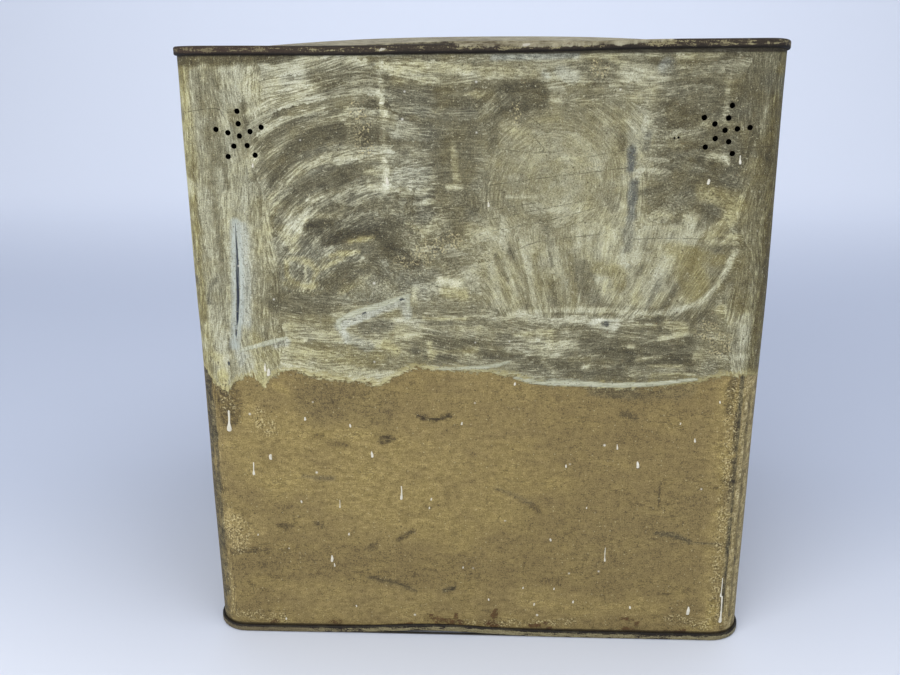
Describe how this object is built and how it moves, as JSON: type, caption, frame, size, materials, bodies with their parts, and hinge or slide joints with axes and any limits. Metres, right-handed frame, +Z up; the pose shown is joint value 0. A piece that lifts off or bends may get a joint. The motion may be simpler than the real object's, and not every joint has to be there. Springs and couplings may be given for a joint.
{
  "type": "coffee tin",
  "caption": "Large square-section coffee tin with rounded upright corners, rolled end seams, a crowned top, a round lift-off plug lid and star-shaped punched vents.",
  "frame": {"origin": "centre of the base, on the plane of the bottom seam's edge", "axes": "+Z up through the lid; the face with the star vents looks to -Y; +X is that face's right"},
  "size_m": [0.3312, 0.3312, 0.3597],
  "materials": {
    "body_paint": "brushed-on house paint, worn through in places, matt",
    "end_plate": "darkened tinplate with old paint and rust on the rolled seam",
    "bare_tinplate": "dulled tinplate",
    "lid_paint": "brushed-on house paint, worn, matt",
    "solder": "dull grey solder",
    "seal": "hardened sealing compound"
  },
  "bodies": {
    "tin": {"front_sheet": "body_paint", "rear_sheet": "body_paint", "left_seam_solder": "solder", "right_seam_solder": "solder", "bottom_end": "end_plate", "bottom_seam_seal": "seal", "top_end": "end_plate", "top_seam_seal": "seal", "friction_ring": "bare_tinplate", "ring_solder": "solder"},
    "lid": {"lid": "lid_paint"}
  },
  "joints": [
    {"name": "lid_lift", "type": "slide", "parent": "tin", "child": "lid", "axis": [0, 0, 1], "range_m": [0, 0.06]}
  ]
}
